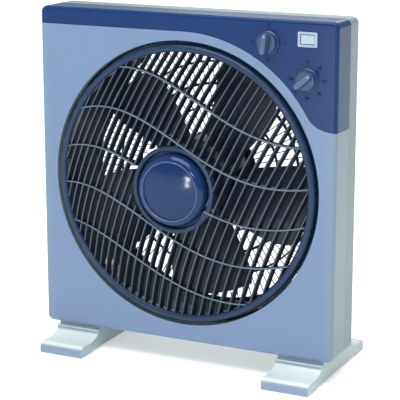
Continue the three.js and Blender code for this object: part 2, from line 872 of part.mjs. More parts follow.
function knob(name, x, z, turn) {
  const base = frontY - knobGap;
  const front = base - knobBase;
  const disc = turned([
    [0, base],
    [knobRadius, base],
    [knobRadius, base - 1.5],
    [knobRadius - 1, front + 1],
    [knobRadius - 2, front],
    [0, front],
  ], 20);
  const half = knobGripWidth / 2;
  const shape = new THREE.Shape();
  const tip = knobRadius - half - 0.3;
  shape.moveTo(half, -tip);
  shape.lineTo(half - 0.8, tip);
  shape.absarc(0, tip, half - 0.8, 0, Math.PI);
  shape.lineTo(-half, -tip);
  shape.absarc(0, -tip, half, Math.PI, 2 * Math.PI);
  const grip = plate(shape, front - knobGripHeight, front + 1);
  const socket = rod(controlShaftRadius + touchGap, base - 5, base + 1, 12);
  const mesh = piece(name, disc.add(grip).subtract(socket), 'panel');
  mesh.geometry.rotateY(turn * degrees);
  mesh.position.set(x, 0, z);
}

function control(name, x, z, size, depth) {
  const front = faceBackY + touchGap;
  const half = size / 2;
  const box = block(x - half, x + half, front, front + depth, z - half, z + half);
  const well = rod(controlShaftRadius + controlShaftPlay, front - 1, front + 11, 14, x, z);
  piece(name, box.subtract(well), 'black');
}

function controls() {
  knob('speed_knob', speedKnobX, speedKnobZ, speedGripTurn);
  knob('timer_knob', timerKnobX, timerKnobZ, timerGripTurn);
  control('speed_switch', speedKnobX, speedKnobZ, speedSwitchSize, speedSwitchDepth);
  control('timer_body', timerKnobX, timerKnobZ, timerSize, timerDepth);
  const shaftFront = frontY - knobGap - 5 + touchGap;
  const shaftBack = faceBackY + 10;
  const controlShaft = (x, z) => rod(controlShaftRadius, shaftFront, shaftBack, 14, x, z);
  piece('speed_switch_shaft', controlShaft(speedKnobX, speedKnobZ), 'brass');
  piece('timer_shaft', controlShaft(timerKnobX, timerKnobZ), 'brass');

  const x = bezelWidth / 2;
  const z = bezelHeight / 2;
  const rim = roundedRect(rockerX - x, rockerX + x, rockerZ - z, rockerZ + z, 1.5);
  const bezel = plate(rim, frontY - bezelProud, frontY - touchGap);
  const housing = switchBox(0, frontY - 1, frontY + switchDepth);
  const pocketX = rockerWidth / 2 + rockerPlay;
  const pocketZ = bezelHeight / 2 - bezelWall + rockerPlay;
  const pocket = block(
    rockerX - pocketX, rockerX + pocketX, frontY - bezelProud - 1, frontY + switchPocket,
    rockerZ - pocketZ, rockerZ + pocketZ);
  piece('louver_switch_body', bezel.add(housing).subtract(pocket), 'pale');

  const halfRocker = rockerWidth / 2;
  const rockerHeight = bezelHeight / 2 - bezelWall;
  const outline = [
    [-halfRocker, -3], [0, -1.8], [halfRocker, -3],
    [halfRocker - 2.5, 4], [-halfRocker + 2.5, 4],
  ];
  const bottom = outline.map(([px, py]) => new THREE.Vector3(px, py, -rockerHeight));
  const top = outline.map(([px, py]) => new THREE.Vector3(px, py, rockerHeight));
  const holeRadius = rockerPinRadius + touchGap;
  const hole = new THREE.CylinderGeometry(holeRadius, holeRadius, bezelHeight, 10);
  hole.rotateX(Math.PI / 2);
  const rocker = loft([bottom, top]).subtract(solid(hole));
  const mesh = piece('louver_switch_rocker', rocker, 'shell');
  mesh.geometry.rotateZ(rockerTilt * degrees);
  mesh.position.set(rockerX, rockerPivotY, rockerZ);
  const pin = new THREE.CylinderGeometry(rockerPinRadius, rockerPinRadius, rockerHeight * 2, 10);
  pin.rotateX(Math.PI / 2);
  pin.translate(rockerX, rockerPivotY, rockerZ);
  piece('rocker_pin', solid(pin), 'steel');
}

// ---------------------------------------------------------------- feet
function footScrewSpots() {
  const x = footInner + footWidth / 2;
  const front = frontY + footScrewSetback;
  const rear = stepY - 2;
  return [[-x, front], [-x, rear], [x, front], [x, rear]];
}

function upright(radius, z0, z1, segments, x, y) {
  const geometry = new THREE.CylinderGeometry(radius, radius, z1 - z0, segments);
  geometry.rotateX(Math.PI / 2);
  geometry.translate(x, y, (z0 + z1) / 2);
  return solid(geometry);
}

function footScrewHole(x, y) {
  return upright(screwShankRadius + touchGap, 0, bottomZ + wall + 1, 10, x, y);
}

// Half of the foot's side outline, from the middle of its top to the middle of its sole.
function footOutline() {
  const tip = -footLength / 2;
  const ledge = frontY + ledgeSetback;
  const saddle = frontY + saddleSetback;
  const shape = new THREE.Shape();
  const side = (sign) => {
    const at = (y, z) => [sign * y, z];
    return {
      tip: at(tip, padProud),
      noseLow: at(tip, noseHeight - noseRadius),
      nose: at(tip, noseHeight),
      noseTop: at(tip + noseRadius, noseHeight),
      dip: at(tip + noseLength, noseHeight),
      bend: at(tip + noseLength + 8, noseHeight),
      rise: at(ledge - 3, ledgeHeight),
      ledge: at(ledge, ledgeHeight),
      corner: at(saddle, ledgeHeight),
      saddle: at(saddle, bottomZ - touchGap),
      heel: at(tip + soleLength, padProud),
      arch: at(tip + soleLength, padProud + soleStep),
    };
  };
  const front = side(1);
  const rear = side(-1);
  shape.moveTo(...front.saddle);
  shape.lineTo(...front.corner);
  shape.lineTo(...front.ledge);
  shape.bezierCurveTo(...front.rise, ...front.bend, ...front.dip);
  shape.lineTo(...front.noseTop);
  shape.quadraticCurveTo(...front.nose, ...front.noseLow);
  shape.lineTo(...front.tip);
  shape.lineTo(...front.heel);
  shape.lineTo(...front.arch);
  shape.lineTo(...rear.arch);
  shape.lineTo(...rear.heel);
  shape.lineTo(...rear.tip);
  shape.lineTo(...rear.noseLow);
  shape.quadraticCurveTo(...rear.nose, ...rear.noseTop);
  shape.lineTo(...rear.dip);
  shape.bezierCurveTo(...rear.bend, ...rear.rise, ...rear.ledge);
  shape.lineTo(...rear.corner);
  shape.lineTo(...rear.saddle);
  return shape;
}

function foot(name, side, firstPad) {
  const x0 = side > 0 ? footInner : -footInner - footWidth;
  const x1 = x0 + footWidth;
  const options = { depth: footWidth, bevelEnabled: false, curveSegments: 6 };
  const geometry = new THREE.ExtrudeGeometry(footOutline(), options);
  const basis = new THREE.Matrix4().makeBasis(
    new THREE.Vector3(0, 1, 0), new THREE.Vector3(0, 0, 1), new THREE.Vector3(1, 0, 0));
  geometry.applyMatrix4(basis);
  geometry.translate(x0, 0, 0);
  const pocketEnd = -frontY - ledgeSetback;
  const pocketTop = ledgeHeight - footWall * 2;
  const pocket = block(x0 + footWall, x1 - footWall, -pocketEnd, pocketEnd, -1, pocketTop);
  const spots = footScrewSpots().filter(([x]) => x > x0 && x < x1);
  const holes = spots.map(([x, y]) => footScrewHole(x, y));
  const padEnds = [-1, 1].map((end) => {
    const y0 = end * (footLength / 2 - padInset);
    const y1 = end * (footLength / 2 - soleLength + padInset);
    return [Math.min(y0, y1), Math.max(y0, y1)];
  });
  const recess = ([y0, y1]) => block(
    x0 + padInset - touchGap, x1 - padInset + touchGap, y0 - touchGap, y1 + touchGap,
    -1, padThickness + touchGap);
  piece(name, cut(solid(geometry), [pocket, ...holes, ...padEnds.map(recess)]), 'foot');
  padEnds.forEach(([y0, y1], i) => {
    const pad = block(x0 + padInset, x1 - padInset, y0, y1, 0, padThickness);
    piece(`foot_pad_${firstPad + i}`, pad, 'rubber');
  });
  spots.forEach(([x, y], i) => {
    const length = bottomZ - pocketTop + wall + 6;
    const body = screw(0, length, 0, 0);
    const turnedUp = body.rotate([-90, 0, 0]);
    const placed = turnedUp.translate([x, y, pocketTop - touchGap]);
    piece(`foot_screw_${firstPad + i}`, placed, 'steel');
  });
}

// ---------------------------------------------------------------- fixings and wiring
function casingScrews() {
  postSpots.forEach(([x, z], i) => {
    piece(`shell_screw_${i + 1}`, screw(stepY + touchGap, screwReach, x, z), 'steel');
  });
  panelPostSpots.forEach(([x, z], i) => {
    piece(`panel_screw_${i + 1}`, screw(stepY + touchGap, screwReach, x, z), 'steel');
  });
}

function glandSpot() {
  return [-halfWidth + rearInset + glandInset, bottomZ + glandInset];
}

// A box standing on the casing's floor.
function seated(name, { x, y, width, depth, height }, look) {
  const floor = bottomZ + wall + touchGap;
  const body = block(x - width / 2, x + width / 2, y - depth / 2, y + depth / 2, floor, floor + height);
  piece(name, body, look);
}

function wiring() {
  const [x, z] = glandSpot();
  const gland = turned([
    [glandBore, rearY - wall - glandFlange * 2],
    [glandRadius + glandFlange, rearY - wall - glandFlange * 2],
    [glandRadius + glandFlange, rearY - wall - touchGap],
    [glandRadius, rearY - wall - touchGap],
    [glandRadius, rearY],
    [glandBore, rearY],
  ], 18, x, z);
  piece('cord_gland', gland, 'black');
  seated('terminal_block', terminalBlock, 'pale');
  seated('capacitor', capacitorBox, 'black');
}

casing();
rearCasing();
rearGuard();
louver();
rollers();
louverDrive();
impeller();
motor();
controls();
foot('left_foot', -1, 1);
foot('right_foot', 1, 3);
casingScrews();
wiring();

export default fan;
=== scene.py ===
import bpy
import bmesh
import math
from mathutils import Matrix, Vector


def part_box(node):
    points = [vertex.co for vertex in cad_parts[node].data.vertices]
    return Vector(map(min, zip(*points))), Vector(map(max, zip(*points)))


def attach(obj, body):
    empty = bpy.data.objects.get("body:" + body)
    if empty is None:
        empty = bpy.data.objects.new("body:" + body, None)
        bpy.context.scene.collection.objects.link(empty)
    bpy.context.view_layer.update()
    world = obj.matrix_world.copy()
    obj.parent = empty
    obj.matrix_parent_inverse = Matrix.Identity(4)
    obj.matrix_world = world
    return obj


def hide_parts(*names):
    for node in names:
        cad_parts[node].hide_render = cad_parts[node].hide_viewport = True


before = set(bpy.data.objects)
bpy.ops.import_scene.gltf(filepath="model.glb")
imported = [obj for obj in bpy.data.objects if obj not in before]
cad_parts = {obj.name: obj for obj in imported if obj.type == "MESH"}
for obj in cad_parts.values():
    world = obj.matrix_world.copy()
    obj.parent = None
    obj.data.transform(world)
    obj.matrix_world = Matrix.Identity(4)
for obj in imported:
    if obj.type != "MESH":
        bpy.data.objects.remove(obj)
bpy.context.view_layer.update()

MM = 0.001
SCENE = bpy.context.scene


# ---------------------------------------------------------------- sizes, in mm, and places
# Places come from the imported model; sizes that it doesn't give are stated.
def mm_box(node):
    lo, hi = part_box(node)
    return Vector(lo) / MM, Vector(hi) / MM


PANEL_LO = mm_box("control_panel")[0]
REAR_LO, REAR_HI = mm_box("rear_shell")
GRILLE_LO, GRILLE_HI = mm_box("louver_grille")
GUARD_LO, GUARD_HI = mm_box("rear_guard")
CAP_LO, CAP_HI = mm_box("louver_cap")
BLADE_LO, BLADE_HI = mm_box("fan_blade")

FRONT_Y = PANEL_LO.y
REAR_Y = REAR_HI.y
TOP_Z = REAR_HI.z
BOTTOM_Z = REAR_LO.z
HALF = REAR_HI.x
CENTRE_Z = (GRILLE_LO.z + GRILLE_HI.z) / 2
FLANGE_RADIUS = GRILLE_HI.x

# casing
WALL = 2.5
SEAM_GAP = 0.3
SEAM_Y = FRONT_Y + 36
STEP_Y = FRONT_Y + 58
CORNER = 7
EDGE = 4
EDGE_BREAK = 0.35
OPENING = FLANGE_RADIUS + 2.5
LIP_DEPTH = 7
SHAFT_HOLE = 3.8
SWITCH_MARGIN = 0.9

# control cover
PANEL_SIDE = PANEL_LO.z
PANEL_MARGIN = 10
PANEL_END = math.radians(33)
PANEL_GAP = 0.45
OVERSHOOT = 5

# rear casing and guard
REAR_INSET = 12
REAR_CORNER = 8
GLAND_HOLE = 6.3
GUARD_OPENING = GUARD_HI.x - 4.5
GUARD_PLATE = 47
GUARD_MIDDLE = 98
GUARD_CELLS = (56, 112)
SPOKE_RADIUS = 0.6
GUARD_RINGS = ((73, 1.1), (GUARD_MIDDLE, 1.5), (123, 1.1), (GUARD_OPENING + 1.2, 2.6))

# grille: round rim bead, slats, ribs and hub
BEAD_OUTER = FLANGE_RADIUS - 2
BEAD_WIDTH = 8
BEAD_INNER = BEAD_OUTER - BEAD_WIDTH
BEAD_Y = FRONT_Y - 3 + BEAD_WIDTH / 2
FLANGE_Y = FRONT_Y + 10.5
FLANGE_THICK = 2.5
GRATING_RADIUS = BEAD_OUTER - 4.8
DOME_RISE = 26
DOME_POWER = 2.5
SLATS = 31
SLAT_PITCH = 9.3
SLAT_THICK = 1.8
SLAT_DEPTH = 8
SLAT_STEP = 7
SLAT_TURN = math.radians(23)
SLAT_LEAN = 0.2
RIBS = 5
RIB_PITCH = 48
RIB_WIDTH = 2.2
RIB_PROUD = 0.5
RIB_SLOPE = 15
RIB_CURL = 43
RIB_REACH = 144
HUB = 47.5
HUB_WALL = 5
HUB_BITE = 0.9
HUB_RECESS = 7
CAP_ROLL = 6.4
CAP_RIM = 8
CAP_DOME = 2.8

# impeller
BLADES = 5
BLADE_START = math.radians(56)
BLADE_SWEEP = math.radians(6)
BLADE_HUB = 45.5
BLADE_ROOT = BLADE_HUB - 1.5
BLADE_TIP = 131
BLADE_Y = -2
BLADE_HALF = 1.2
BLADE_STEPS = 16
BLADE_CHORD_STEPS = 12

# knobs, their dials and the rocker
KNOB_DEPTH = 7
GRIP_HALF = 3.25
DIAL_RADIUS = 14.2
TICK_HALF = 0.45
NUMBER_OUT = 4.6
NUMBER_SIZE = 4.4
KEY_HALF = 7.8
KEY_TILT = math.radians(8)

# feet
NOSE = 6.0
NOSE_TOP = 13
LEDGE_Y = -FRONT_Y - 4
LEDGE_Z = 22.0
FOOT_BEVEL = 2.4

# camera, floor and lights, in metres and degrees
PHOTO_WIDTH = 400
FOCAL_PIXELS = 1530.5
CAMERA_PLACE = (0.7164, -1.4851, 0.5811)
CAMERA_AZIMUTH = math.radians(25.83)
CAMERA_ELEVATION = math.radians(13.04)
CAMERA_SHIFT = -0.05
FLOOR_HALF = 6
LIGHTS = (
    # name, place, aim, size, power, colour
    ("top", (0.1, -0.6, 2.6), (0, 0, 0), 2.2, 85, (1.0, 1.0, 1.0)),
    ("key", (0.55, -2.2, 0.95), (0, 0, 0.2), 0.35, 12, (1.0, 0.99, 0.97)),
    ("spark_high", (-0.38, -2.07, 0.10), (0, 0, 0.2), 0.09, 1.9, (1, 1, 1)),
    ("spark_low", (-0.26, -1.42, 0.035), (0, 0, 0.2), 0.06, 0.6, (0.85, 0.9, 1)),
    ("fill", (-1.8, -1.3, 0.9), (0, 0, 0.2), 1.4, 3, (0.9, 0.95, 1.0)),
    ("side", (2.0, 0.3, 1.1), (0.1, 0, 0.3), 1.0, 0.9, (0.96, 1.0, 0.97)),
    ("back", (-0.4, 1.8, 1.4), (0, 0, 0.2), 1.2, 8, (1, 1, 1)),
)

# how finely round shapes are cut, and where shading breaks
ROUND = 96
WIDE_ROUND = 160
LEAST_RADIUS = 0.05
SHARP_ANGLE = 32
STRIP_SHARP_ANGLE = 50
BEVEL_ANGLE = 50


# ---------------------------------------------------------------- mesh helpers
def make(name, verts, faces):
    mesh = bpy.data.meshes.new(name)
    mesh.from_pydata([tuple(Vector(v) * MM) for v in verts], [], faces)
    mesh.validate()
    tidy = bmesh.new()
    tidy.from_mesh(mesh)
    bmesh.ops.remove_doubles(tidy, verts=tidy.verts, dist=1e-7)
    bmesh.ops.recalc_face_normals(tidy, faces=tidy.faces)
    tidy.to_mesh(mesh)
    tidy.free()
    obj = bpy.data.objects.new(name, mesh)
    SCENE.collection.objects.link(obj)
    return obj


def bundle(name, groups):
    """One mesh of several separate closed bodies, each through its own rings of points."""
    verts, faces = [], []
    for rings in groups:
        base = len(verts)
        count = len(rings[0])
        verts += [p for ring in rings for p in ring]
        for i in range(len(rings) - 1):
            a = base + i * count
            for j in range(count):
                k = (j + 1) % count
                faces.append((a + j, a + k, a + count + k, a + count + j))
        faces.append(tuple(base + j for j in range(count)))
        faces.append(tuple(len(verts) - count + j for j in range(count)))
    return make(name, verts, faces)


def loft(name, rings):
    """A closed body through rings of points, with flat ends."""
    return bundle(name, [rings])


def turned(name, profile, segments=ROUND, x=0.0, z=CENTRE_Z):
    """A body of revolution about Y through (x, z); the profile holds (radius, y) points.

    A profile that starts on the axis ends on it; any other is joined back to its start.
    """
    verts, faces, rows = [], [], []
    for r, y in profile:
        if r == 0:
            rows.append([len(verts)] * segments)
            verts.append((x, y, z))
            continue
        rows.append([len(verts) + j for j in range(segments)])
        for j in range(segments):
            a = 2 * math.pi * j / segments
            verts.append((x + r * math.cos(a), y, z + r * math.sin(a)))
    loop = profile[0][0] > 0
    for i in range(len(rows) if loop else len(rows) - 1):
        low, high = rows[i], rows[(i + 1) % len(rows)]
        for j in range(segments):
            k = (j + 1) % segments
            face = []
            for v in (low[j], low[k], high[k], high[j]):
                if v not in face:
                    face.append(v)
            if len(face) > 2:
                faces.append(tuple(face))
    return make(name, verts, faces)


def angles(end, steps):
    """Even steps from 0 to end degrees, in radians."""
    return [math.radians(end * i / steps) for i in range(steps + 1)]


def arc(cx, cy, radius, start, end, steps):
    """Points of an arc as (x, y), angles in degrees."""
    points = []
    for i in range(steps + 1):
        a = math.radians(start + (end - start) * i / steps)
        points.append((cx + radius * math.cos(a), cy + radius * math.sin(a)))
    return points


def rounded(x0, x1, z0, z1, radius, steps=8):
    """A rounded rectangle as (x, z) points, anticlockwise seen from the front."""
    radius = max(radius, LEAST_RADIUS)
    points = []
    for cx, cz, start in (
        (x1 - radius, z0 + radius, -90),
        (x1 - radius, z1 - radius, 0),
        (x0 + radius, z1 - radius, 90),
        (x0 + radius, z0 + radius, 180),
    ):
        points += arc(cx, cz, radius, start, start + 90, steps)
    return points


def extruded(name, outline, y0, y1):
    return loft(name, [[(x, y, z) for x, z in outline] for y in (y0, y1)])


def box(name, x0, x1, y0, y1, z0, z1):
    return extruded(name, [(x0, z0), (x1, z0), (x1, z1), (x0, z1)], y0, y1)


def rod(name, radius, y0, y1, x=0.0, z=CENTRE_Z, segments=ROUND):
    return turned(name, [(0, y0), (radius, y0), (radius, y1), (0, y1)], segments, x, z)


def bake(obj):
    """Applies the modifiers of a piece to its mesh."""
    graph = bpy.context.evaluated_depsgraph_get()
    mesh = bpy.data.meshes.new_from_object(obj.evaluated_get(graph))
    obj.modifiers.clear()
    obj.data = mesh


def combine(obj, tools, operation="DIFFERENCE"):
    """Joins the tools to obj or cuts them from it, and removes them."""
    for tool in tools:
        step = obj.modifiers.new("step", "BOOLEAN")
        step.object = tool
        step.operation = operation
        step.solver = "MANIFOLD"
    bake(obj)
    for tool in tools:
        bpy.data.objects.remove(tool)
    return obj


def smooth(obj, angle=SHARP_ANGLE, weighted=True):
    """Smooth shading that breaks at edges sharper than angle."""
    for polygon in obj.data.polygons:
        polygon.use_smooth = True
    obj.data.set_sharp_from_angle(angle=math.radians(angle))
    if weighted:
        step = obj.modifiers.new("normals", "WEIGHTED_NORMAL")
        step.keep_sharp = True


def bevel(obj, width, segments):
    step = obj.modifiers.new("bevel", "BEVEL")
    step.width = width * MM
    step.segments = segments
    step.limit_method = "ANGLE"
    step.angle_limit = math.radians(BEVEL_ANGLE)
    step.use_clamp_overlap = True


def done(obj, body, material, nodes=()):
    """Gives a new piece its finish, its body and the CAD nodes it stands for."""
    obj.data.materials.clear()
    obj.data.materials.append(material)
    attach(obj, body)
    if nodes:
        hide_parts(*nodes)


# ---------------------------------------------------------------- materials
WIDE = (9, 4)
FINE = (140, 2)
GRAIN = (900, 2)
PLASTIC_IOR = 1.49
BUMP_HEIGHT = 0.0002


class Paint:
    """Builds one procedural material, node by node."""

    def __init__(self, name, **sockets):
        self.material = bpy.data.materials.new(name)
        self.material.use_nodes = True
        self.tree = self.material.node_tree
        self.shader = self.tree.nodes["Principled BSDF"]
        for key, value in sockets.items():
            self.shader.inputs[key.replace("_", " ")].default_value = value
        self.place = self.node("ShaderNodeTexCoord").outputs["Object"]

    def node(self, kind, **settings):
        made = self.tree.nodes.new(kind)
        for key, value in settings.items():
            setattr(made, key, value)
        return made

    def link(self, out, into):
        self.tree.links.new(out, into)

    def noise(self, scale, detail, stretch=None):
        texture = self.node("ShaderNodeTexNoise")
        texture.inputs["Scale"].default_value = scale
        texture.inputs["Detail"].default_value = detail
        source = self.place
        if stretch:
            mapping = self.node("ShaderNodeMapping")
            mapping.inputs["Scale"].default_value = stretch
            self.link(source, mapping.inputs["Vector"])
            source = mapping.outputs["Vector"]
        self.link(source, texture.inputs["Vector"])
        return texture.outputs["Fac"]

    def facing_front(self):
        """1 where the surface faces the front of the piece, -1 where it faces the back."""
        parts = self.node("ShaderNodeSeparateXYZ")
        self.link(self.node("ShaderNodeTexCoord").outputs["Normal"], parts.inputs[0])
        flip = self.node("ShaderNodeMath", operation="MULTIPLY")
        flip.inputs[1].default_value = -1.0
        self.link(parts.outputs["Y"], flip.inputs[0])
        return flip.outputs[0]

    def spread(self, fac, low, high, start=0.3, end=0.7):
        """Turns the span from start to end of a value into the span from low to high."""
        ramp = self.node("ShaderNodeMapRange")
        spans = (("From Min", start), ("From Max", end), ("To Min", low), ("To Max", high))
        for key, value in spans:
            ramp.inputs[key].default_value = value
        self.link(fac, ramp.inputs["Value"])
        return ramp.outputs["Result"]

    def blend(self, fac, a, b):
        """From a to b as fac goes from 0 to 1; either may be a colour or a node's output."""
        mix = self.node("ShaderNodeMix", data_type="RGBA")
        self.link(fac, mix.inputs["Factor"])
        for socket, value in ((mix.inputs["A"], a), (mix.inputs["B"], b)):
            if isinstance(value, tuple):
                socket.default_value = value
            else:
                self.link(value, socket)
        return mix.outputs["Result"]

    def colour(self, out):
        self.link(out, self.shader.inputs["Base Color"])

    def rough(self, fac, low, high):
        self.link(self.spread(fac, low, high), self.shader.inputs["Roughness"])

    def bump(self, fac, strength):
        made = self.node("ShaderNodeBump")
        made.inputs["Strength"].default_value = strength
        made.inputs["Distance"].default_value = BUMP_HEIGHT
        self.link(fac, made.inputs["Height"])
        self.link(made.outputs["Normal"], self.shader.inputs["Normal"])


def linear(value):
    """An sRGB value of 0 to 255 as linear light."""
    value /= 255
    return value / 12.92 if value <= 0.04045 else ((value + 0.055) / 1.055) ** 2.4


def rgb(r, g, b):
    return (linear(r), linear(g), linear(b), 1.0)


def shade(colour, factor):
    return tuple(c * factor for c in colour[:3]) + (1.0,)


def plastic(name, colour, low, high, grain=GRAIN, bump=0.12, drift=0.05, specular=0.5):
    """Moulded plastic: a little colour drift, uneven gloss and a fine spark-eroded grain."""
    paint = Paint(name, IOR=PLASTIC_IOR, Specular_IOR_Level=specular)
    wide = paint.noise(*WIDE)
    fine = paint.noise(*FINE)
    pale = shade(colour, 1 + drift * 1.6)
    tone = paint.blend(paint.spread(wide, 0, 1), shade(colour, 1 - drift), shade(colour, 1 + drift))
    paint.colour(paint.blend(paint.spread(fine, 0, 0.35), tone, pale))
    paint.rough(wide, low, high)
    paint.bump(paint.noise(*grain), bump)
    return paint.material


def edged(name, side, front, low, high):
    """Moulded plastic with a pale, mottled painted highlight on faces that look to the front, over
    sides darkened as painted shade.
    """
    paint = Paint(name, IOR=PLASTIC_IOR)
    wide = paint.noise(*WIDE)
    # painted highlight on front-facing faces; the rest takes the darker tone as painted shade
    edge = paint.spread(paint.facing_front(), 0, 1, 0.7, 1.0)
    mottle = paint.spread(paint.noise(60, 3), 0, 1)
    painted_highlight_tone = paint.blend(mottle, shade(front, 0.85), shade(front, 1.1))
    painted_shade_tone = paint.blend(paint.spread(wide, 0, 1), shade(side, 0.8), shade(side, 1.2))
    paint.colour(paint.blend(edge, painted_shade_tone, painted_highlight_tone))
    paint.rough(wide, low, high)
    paint.bump(paint.noise(*GRAIN), 0.06)
    return paint.material


def two_tone(name, face, side, low, high, drift=0.03, bump=0.09, edge=None, specular=0.5):
    """Moulded plastic whose sides have another cast than its face.

    edge is the span of |x|, in metres, over which most of the face's cast is lost; this fade is
    painted light, the tint that the lighting gives the face near its side edges.
    """
    paint = Paint(name, IOR=PLASTIC_IOR, Specular_IOR_Level=specular)
    wide = paint.noise(*WIDE)
    fine = paint.noise(*FINE)
    facing = paint.spread(paint.facing_front(), 0, 1, 0.1, 0.8)
    # painted light: near the side edges the face's cast gives way to the side's
    if edge:
        across = paint.node("ShaderNodeSeparateXYZ")
        paint.link(paint.place, across.inputs[0])
        size = paint.node("ShaderNodeMath", operation="ABSOLUTE")
        paint.link(across.outputs["X"], size.inputs[0])
        both = paint.node("ShaderNodeMath", operation="MULTIPLY")
        paint.link(facing, both.inputs[0])
        paint.link(paint.spread(size.outputs[0], 1, 0.35, *edge), both.inputs[1])
        facing = both.outputs[0]
    base = paint.blend(facing, side, face)
    light = paint.blend(facing, shade(side, 1 + drift * 2), shade(face, 1 + drift * 2))
    tone = paint.blend(paint.spread(wide, 0, 1), base, light)
    paint.colour(paint.blend(paint.spread(fine, 0, 0.35), tone, light))
    paint.rough(wide, low, high)
    paint.bump(paint.noise(*GRAIN), bump)
    return paint.material


def three_tone(name, front, side, top, low, high):
    """Glossy moulded plastic with painted light and shade: a paler top where light falls from
    above, a darker cast on its front and another on its sides.
    """
    paint = Paint(name, IOR=PLASTIC_IOR)
    wide = paint.noise(*WIDE)
    facing = paint.spread(paint.facing_front(), 0, 1, 0.75, 0.98)
    normal = paint.node("ShaderNodeSeparateXYZ")
    paint.link(paint.node("ShaderNodeNewGeometry").outputs["Normal"], normal.inputs[0])
    # painted light: faces turned up get the paler top tone, and front and sides get darker tones as
    # painted shade
    lit_from_above = paint.spread(normal.outputs["Z"], 0, 1, 0.3, 0.9)
    tones = []
    for factor in (1, 1.05):
        flank = paint.blend(lit_from_above, shade(side, factor), shade(top, factor))
        tones.append(paint.blend(facing, flank, shade(front, factor)))
    paint.colour(paint.blend(paint.spread(wide, 0, 1), *tones))
    paint.rough(wide, low, high)
    paint.bump(paint.noise(*GRAIN), 0.04)
    return paint.material


def metal(name, colour, low, high, stretch):
    """Drawn or turned metal with fine lines along it."""
    paint = Paint(name, Metallic=1.0)
    lines = paint.noise(60, 5, stretch)
    tone = paint.noise(14, 3)
    paint.colour(paint.blend(paint.spread(tone, 0, 1), shade(colour, 0.82), shade(colour, 1.1)))
    paint.rough(lines, low, high)
    paint.bump(lines, 0.15)
    return paint.material


# the edge span paints the lighting's tint onto the face near its side edges
BODY = two_tone("body_plastic", rgb(96, 120, 151), rgb(108, 130, 136), 0.30, 0.42,
                edge=(0.162, 0.176))
SHELL = plastic("shell_plastic", rgb(112, 130, 132), 0.36, 0.48, drift=0.03, bump=0.1)
PANEL = two_tone("panel_plastic", rgb(14, 45, 90), rgb(8, 52, 90), 0.18, 0.28,
                 drift=0.06, bump=0.03, specular=0.18)
KNOB = plastic("knob_plastic", rgb(32, 56, 94), 0.28, 0.40, drift=0.06, bump=0.04)
GRIP = plastic("grip_plastic", rgb(54, 78, 110), 0.30, 0.42, drift=0.06, bump=0.04)
GRILLE = plastic("grille_plastic", rgb(27, 48, 75), 0.24, 0.34,
                 drift=0.06, bump=0.05, specular=0.28)
CAP = plastic("cap_plastic", rgb(15, 42, 84), 0.10, 0.15, drift=0.1, bump=0.02, specular=0.30)
# the pale ring round the cap's disc is a painted highlight
CAP_HIGHLIGHT = plastic("cap_highlight_paint", rgb(58, 88, 134), 0.14, 0.2, drift=0.06, bump=0.02)
# slats and ribs: the pale front colour is a painted highlight, the dark side colour painted shade
SLAT = edged("slat_plastic", rgb(20, 28, 40), rgb(74, 88, 104), 0.36, 0.50)
RIB = edged("rib_plastic", rgb(22, 30, 44), rgb(90, 112, 132), 0.34, 0.46)
BLACK = plastic("black_plastic", rgb(24, 28, 38), 0.40, 0.58, drift=0.12, bump=0.15)
BLADE = plastic("blade_plastic", rgb(20, 27, 46), 0.34, 0.50, drift=0.12, bump=0.08)
# feet: the pale top colour is painted light from above; the darker front and side colours are
# painted shade
FOOT = three_tone("foot_plastic", rgb(112, 132, 156), rgb(150, 166, 168), rgb(198, 208, 206),
                  0.16, 0.24)
PALE = plastic("pale_plastic", rgb(140, 156, 184), 0.28, 0.38, drift=0.03, bump=0.06)
KEY = plastic("key_plastic", rgb(152, 172, 182), 0.30, 0.42, drift=0.04, bump=0.06)
PRINT = plastic("print_ink", rgb(3, 7, 22), 0.5, 0.65, drift=0.06, bump=0.03, specular=0.1)
DOT = plastic("dot_ink", rgb(150, 168, 186), 0.45, 0.6, drift=0.06, bump=0.03)
RUBBER = plastic("rubber", rgb(30, 30, 32), 0.75, 0.92, grain=(500, 2), drift=0.15, bump=0.4)
STEEL = metal("steel", rgb(150, 152, 156), 0.25, 0.42, (1, 12, 1))
BRASS = metal("brass", rgb(180, 142, 86), 0.25, 0.40, (1, 12, 1))


# ---------------------------------------------------------------- casing
def front_solid(name, inset, y1):
    """The front casing's block with its rounded front edge, shrunk by inset, back to y1."""
    rings = []
    for a in angles(90, 10):
        d = inset + EDGE * (1 - math.sin(a))
        y = FRONT_Y + inset + EDGE * (1 - math.cos(a))
        outline = rounded(-HALF + d, HALF - d, BOTTOM_Z + d, TOP_Z - d, CORNER - (d - inset))
        rings.append([(x, y, z) for x, z in outline])
    outline = rounded(-HALF + inset, HALF - inset, BOTTOM_Z + inset, TOP_Z - inset, CORNER)
    rings.append([(x, y1, z) for x, z in outline])
    return loft(name, rings)


def bezier(p0, p1, p2, p3, steps):
    """Points of a cubic curve, without its first one."""
    points = []
    for i in range(1, steps + 1):
        t = i / steps
        u = 1 - t
        points.append(tuple(
            u ** 3 * a + 3 * u * u * t * b + 3 * u * t * t * c + t ** 3 * d
            for a, b, c, d in zip(p0, p1, p2, p3)))
    return points


def panel_outline(grow):
    """The control cover's lower edge, as an outline that goes past the casing elsewhere."""
    radius = OPENING + PANEL_MARGIN - grow
    side = PANEL_SIDE - grow
    left, right, top = -HALF - OVERSHOOT, HALF + OVERSHOOT, TOP_Z + OVERSHOOT
    end = (radius * math.cos(PANEL_END), CENTRE_Z + radius * math.sin(PANEL_END))
    points = [(left, top), (left, CENTRE_Z + radius)]
    points += arc(0, CENTRE_Z, radius, 90, math.degrees(PANEL_END), 48)
    points += bezier(end, (end[0] + 5, end[1] - 9), (end[0] + 12, side), (HALF, side), 20)
    points += [(right, side), (right, top)]
    return points


def knob_spot(node):
    """The (x, z) of a knob's middle."""
    lo, hi = mm_box(node)
    return (lo.x + hi.x) / 2, (lo.z + hi.z) / 2


